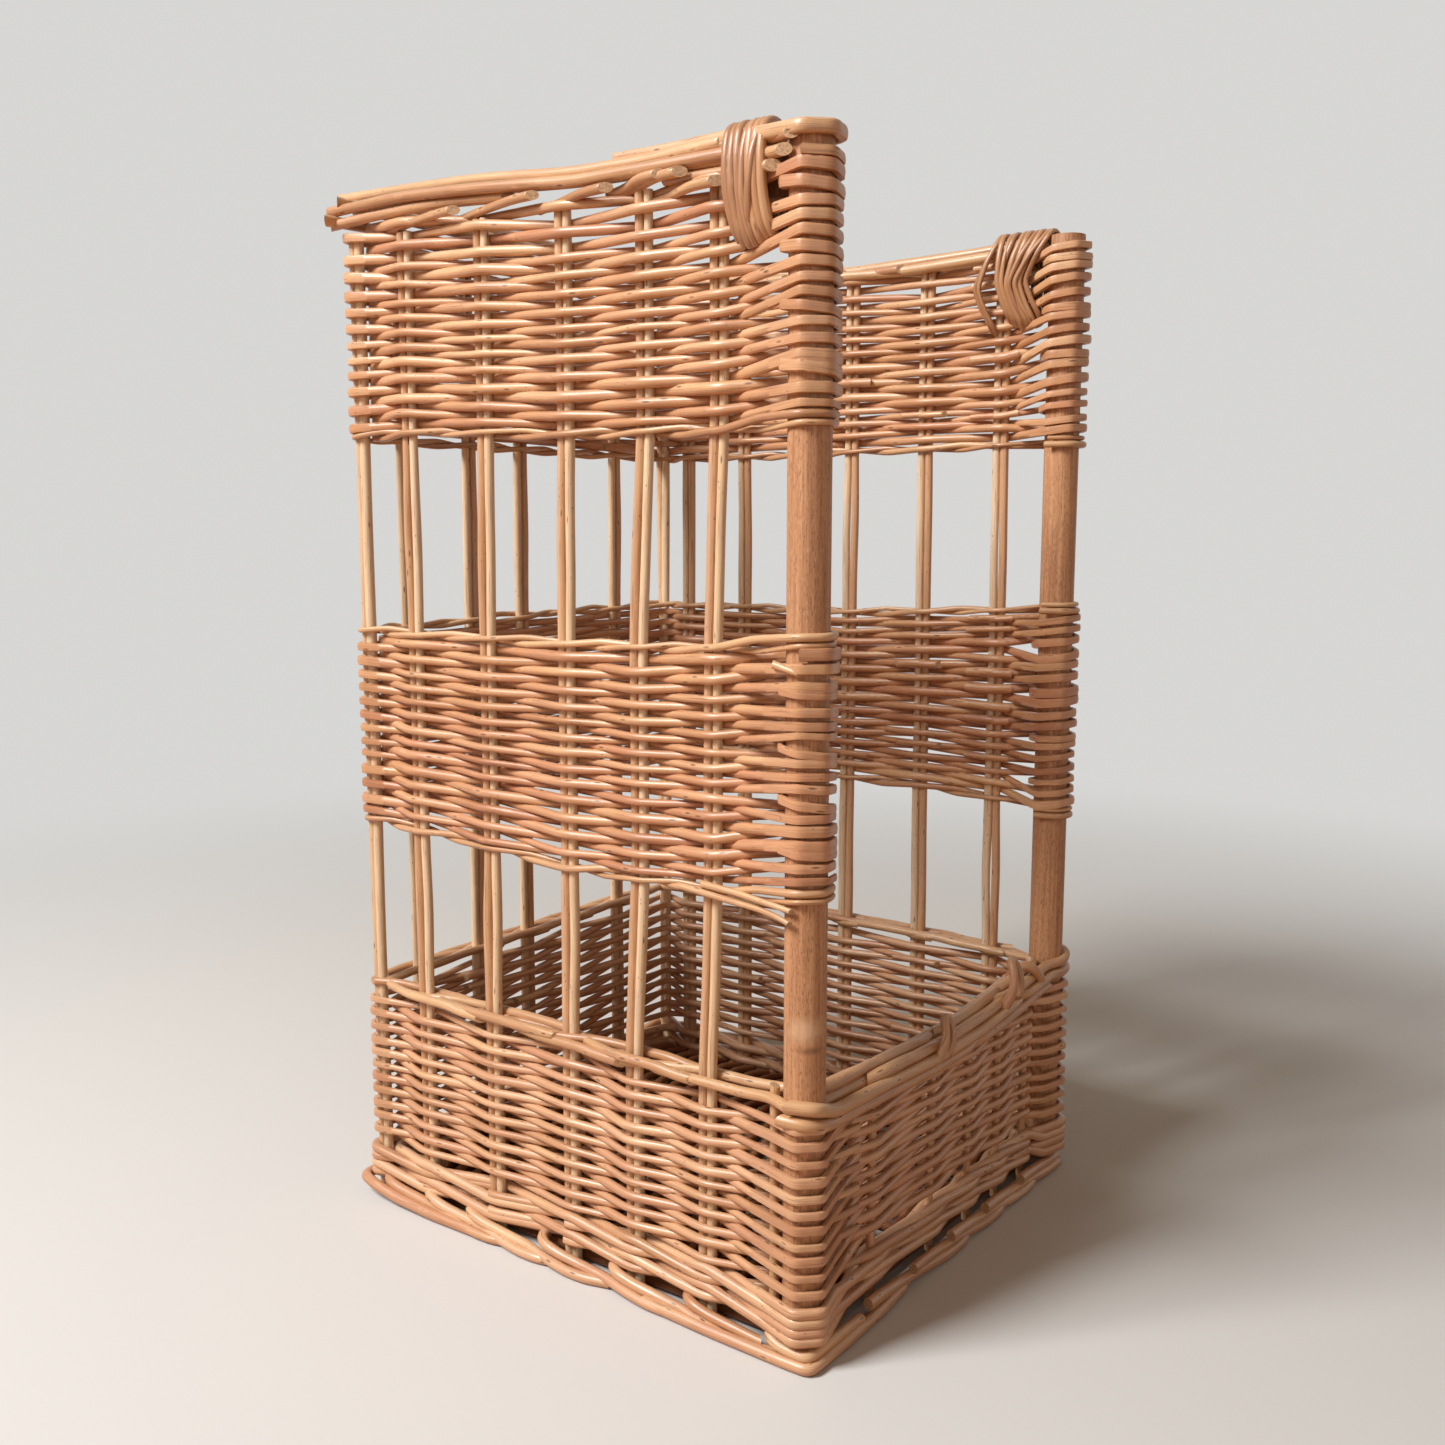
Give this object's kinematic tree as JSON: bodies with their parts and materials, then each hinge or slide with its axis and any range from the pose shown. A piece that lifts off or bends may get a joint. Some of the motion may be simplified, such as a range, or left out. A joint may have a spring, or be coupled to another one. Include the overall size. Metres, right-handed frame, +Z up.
{
  "type": "tiered bread basket",
  "caption": "Tall free-standing wicker bread stand, open at the front and top, with a woven tray at the foot and two woven bands on upright rods above it.",
  "frame": {"origin": "on the floor under the middle of the foot", "axes": "+Z up, the open front faces -Y, +X to the right seen from the front"},
  "size_m": [0.3136, 0.347, 0.6082],
  "materials": {
    "dowel_wood": "smooth turned dowel with fine upright grain, low satin gloss",
    "stake_willow": "peeled willow rod, pale straw, satin gloss",
    "tray_willow": "buff willow weave, satin gloss",
    "middle_willow": "buff willow weave, satin gloss",
    "upper_willow": "buff willow weave, satin gloss",
    "wrap_willow": "flattened willow rods bent round the post, glossy",
    "pairing_willow": "thin willow rods, satin gloss",
    "rail_willow": "thick willow rods with pale slanted cut ends, satin gloss",
    "border_willow": "thick willow rods, satin gloss",
    "skein_willow": "red-brown split willow strand, satin gloss",
    "foot_willow": "thick willow rods, satin gloss, worn underneath",
    "base_willow": "dull brown willow weave"
  },
  "bodies": {
    "root": {"post_left": "dowel_wood", "post_right": "dowel_wood", "corner_stake_left": "stake_willow", "corner_stake_right": "stake_willow", "stakes_left_1": "stake_willow", "stakes_left_2": "stake_willow", "stakes_left_3": "stake_willow", "stakes_left_4": "stake_willow", "stakes_left_5": "stake_willow", "stakes_back_1": "stake_willow", "stakes_back_2": "stake_willow", "stakes_back_3": "stake_willow", "stakes_back_4": "stake_willow", "stakes_back_5": "stake_willow", "stakes_right_1": "stake_willow", "stakes_right_2": "stake_willow", "stakes_right_3": "stake_willow", "stakes_right_4": "stake_willow", "stakes_right_5": "stake_willow", "stakes_right_6": "stake_willow", "stake_front_1": "stake_willow", "stake_front_2": "stake_willow", "stake_front_3": "stake_willow", "stake_front_4": "stake_willow", "stake_front_5": "stake_willow", "tray_weave_left": "tray_willow", "tray_weave_back": "tray_willow", "tray_weave_right": "tray_willow", "tray_weave_front": "tray_willow", "tray_border_left": "border_willow", "tray_border_back": "border_willow", "tray_border_right": "border_willow", "front_border": "border_willow", "tray_wraps_left": "wrap_willow", "tray_wraps_right": "wrap_willow", "middle_weave_left": "middle_willow", "middle_weave_back": "middle_willow", "middle_weave_right": "middle_willow", "middle_lower_pairing": "pairing_willow", "middle_upper_pairing": "pairing_willow", "middle_wraps_left": "wrap_willow", "middle_wraps_right": "wrap_willow", "upper_weave_left": "upper_willow", "upper_weave_back": "upper_willow", "upper_weave_right": "upper_willow", "upper_pairing": "pairing_willow", "upper_wraps_left": "wrap_willow", "upper_wraps_right": "wrap_willow", "top_rail_left": "rail_willow", "top_rail_back": "rail_willow", "top_rail_right": "rail_willow", "lashing_left": "skein_willow", "lashing_right": "skein_willow", "foot_left": "foot_willow", "foot_back": "foot_willow", "foot_right": "foot_willow", "foot_front": "foot_willow", "base_weave": "base_willow", "base_stick_left": "base_willow", "base_stick_right": "base_willow"}
  },
  "joints": []
}
